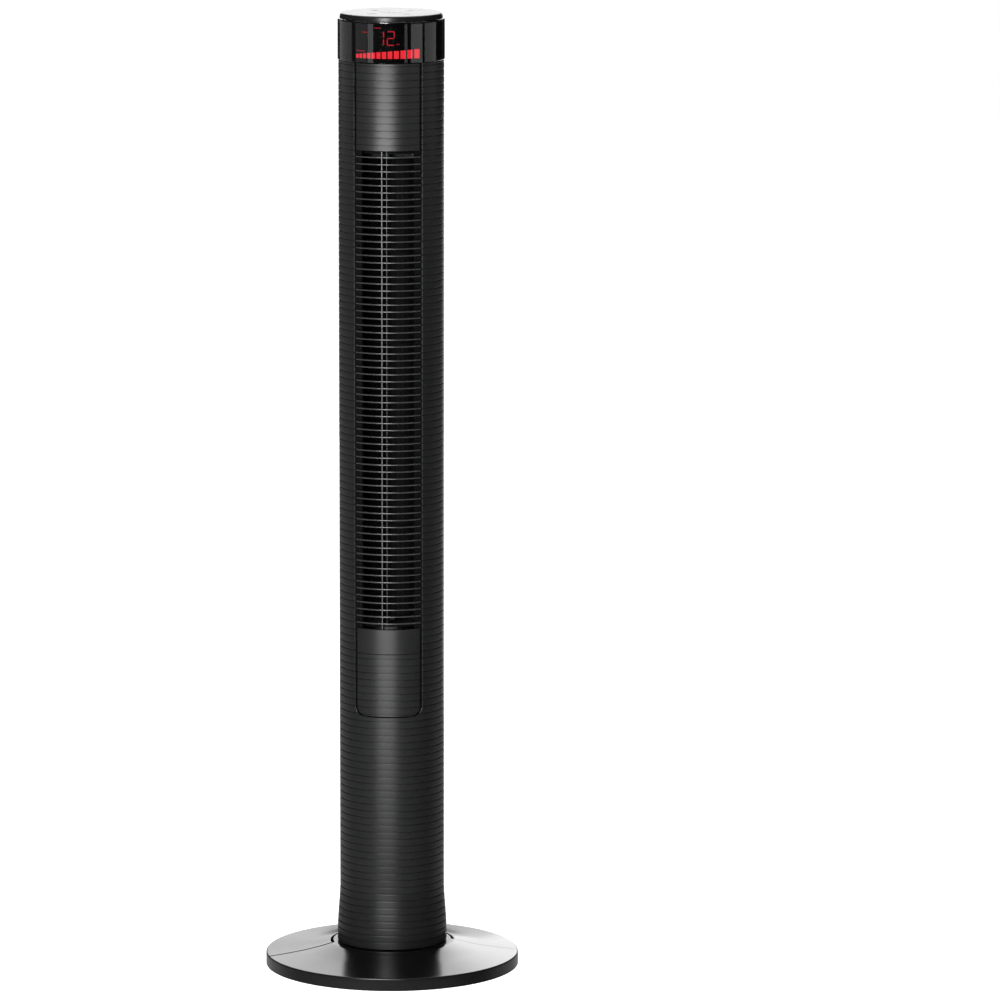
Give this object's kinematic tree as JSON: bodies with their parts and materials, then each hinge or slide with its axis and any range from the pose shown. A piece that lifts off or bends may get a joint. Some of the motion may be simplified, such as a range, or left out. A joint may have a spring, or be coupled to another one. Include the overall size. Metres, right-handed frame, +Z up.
{
  "type": "tower fan",
  "caption": "Slim oscillating tower fan: ribbed round column with a front air outlet, a smoked display band and a key-top cap, on a low round base in two halves.",
  "frame": {"origin": "centre of the footprint, on the floor", "axes": "+Z up along the column, -Y towards the front air outlet, +X to the right seen from the front"},
  "size_m": [0.312, 0.312, 1.18],
  "materials": {
    "satin_black_shell": "satin black moulding with fine horizontal grooves",
    "gloss_black_base": "smooth black moulding with a soft gloss",
    "key_plastic": "satin black key caps",
    "grille_grey": "thin dark grey rungs with a bright edge",
    "inner_black": "matt black moulding, seen only through openings",
    "wheel_plastic": "matt black blades",
    "smoked_lens": "smoked clear plastic with a polished outside",
    "led_red": "red light guide, lit from behind",
    "rubber": "matt black rubber",
    "bare_steel": "pressed steel sheet",
    "zinc_plate": "zinc-plated steel",
    "acetal": "natural white acetal",
    "circuit_board": "green solder mask"
  },
  "bodies": {
    "base": {"base_front_half": "gloss_black_base", "base_rear_half": "gloss_black_base", "base_plate": "bare_steel", "foot_pad_1": "rubber", "foot_pad_2": "rubber", "foot_pad_3": "rubber", "foot_pad_4": "rubber", "foot_pad_5": "rubber", "foot_pad_6": "rubber", "base_screw_1": "zinc_plate", "base_screw_2": "zinc_plate", "base_screw_3": "zinc_plate", "base_screw_4": "zinc_plate", "pivot_column": "inner_black", "glide_ring": "acetal", "fixed_gear_sector": "acetal", "retaining_ring": "bare_steel"},
    "tower": {"front_shell": "satin_black_shell", "rear_shell": "satin_black_shell", "front_panel": "satin_black_shell", "badge_plate": "satin_black_shell", "top_cap": "satin_black_shell", "turntable": "satin_black_shell", "intake_grille": "satin_black_shell", "outlet_grille": "grille_grey", "head_frame": "inner_black", "duct_scroll_wall": "inner_black", "duct_cutoff_wall": "inner_black", "carry_handle_cup": "inner_black", "bearing_bracket": "inner_black", "motor_bracket": "inner_black", "display_lens": "smoked_lens", "display_light_guide": "led_red", "cord_gland": "rubber", "motor_damper_ring": "rubber", "upper_bush": "rubber", "oscillation_bracket": "bare_steel", "shell_screw_1": "zinc_plate", "shell_screw_2": "zinc_plate", "shell_screw_3": "zinc_plate", "shell_screw_4": "zinc_plate", "blower_motor": "zinc_plate", "oscillation_motor": "zinc_plate", "power_board": "circuit_board", "display_board": "circuit_board", "control_board": "circuit_board"},
    "impeller": {"blower_wheel": "wheel_plastic", "motor_shaft": "bare_steel"},
    "pinion": {"oscillation_pinion": "acetal"},
    "power_button": {"power_key": "key_plastic"},
    "speed_button": {"speed_key": "key_plastic"},
    "timer_button": {"timer_key": "key_plastic"},
    "mode_button": {"mode_key": "key_plastic"},
    "swing_button": {"swing_key": "key_plastic"}
  },
  "joints": [
    {"name": "oscillation", "type": "hinge", "parent": "base", "child": "tower", "pos_m": [0, 0, 0.035], "axis": [0, 0, 1], "range_deg": [-35, 35]},
    {"name": "impeller_spin", "type": "hinge", "parent": "tower", "child": "impeller", "pos_m": [0, 0.006, 0.44], "axis": [0, 0, 1], "continuous": true},
    {"name": "pinion_spin", "type": "hinge", "parent": "tower", "child": "pinion", "pos_m": [0, 0.045, 0.055], "axis": [0, 0, 1], "range_deg": [-176, 176]},
    {"name": "power_press", "type": "slide", "parent": "tower", "child": "power_button", "axis": [0, 0, -1], "range_m": [0, 0.001], "stiffness_N_per_m": 400, "springref_m": -0.001},
    {"name": "speed_press", "type": "slide", "parent": "tower", "child": "speed_button", "axis": [0, 0, -1], "range_m": [0, 0.001], "stiffness_N_per_m": 250, "springref_m": -0.001},
    {"name": "timer_press", "type": "slide", "parent": "tower", "child": "timer_button", "axis": [0, 0, -1], "range_m": [0, 0.001], "stiffness_N_per_m": 250, "springref_m": -0.001},
    {"name": "mode_press", "type": "slide", "parent": "tower", "child": "mode_button", "axis": [0, 0, -1], "range_m": [0, 0.001], "stiffness_N_per_m": 250, "springref_m": -0.001},
    {"name": "swing_press", "type": "slide", "parent": "tower", "child": "swing_button", "axis": [0, 0, -1], "range_m": [0, 0.001], "stiffness_N_per_m": 250, "springref_m": -0.001}
  ],
  "couplings": [
    {"joint": "pinion_spin", "follows": "oscillation", "ratio": 5}
  ]
}
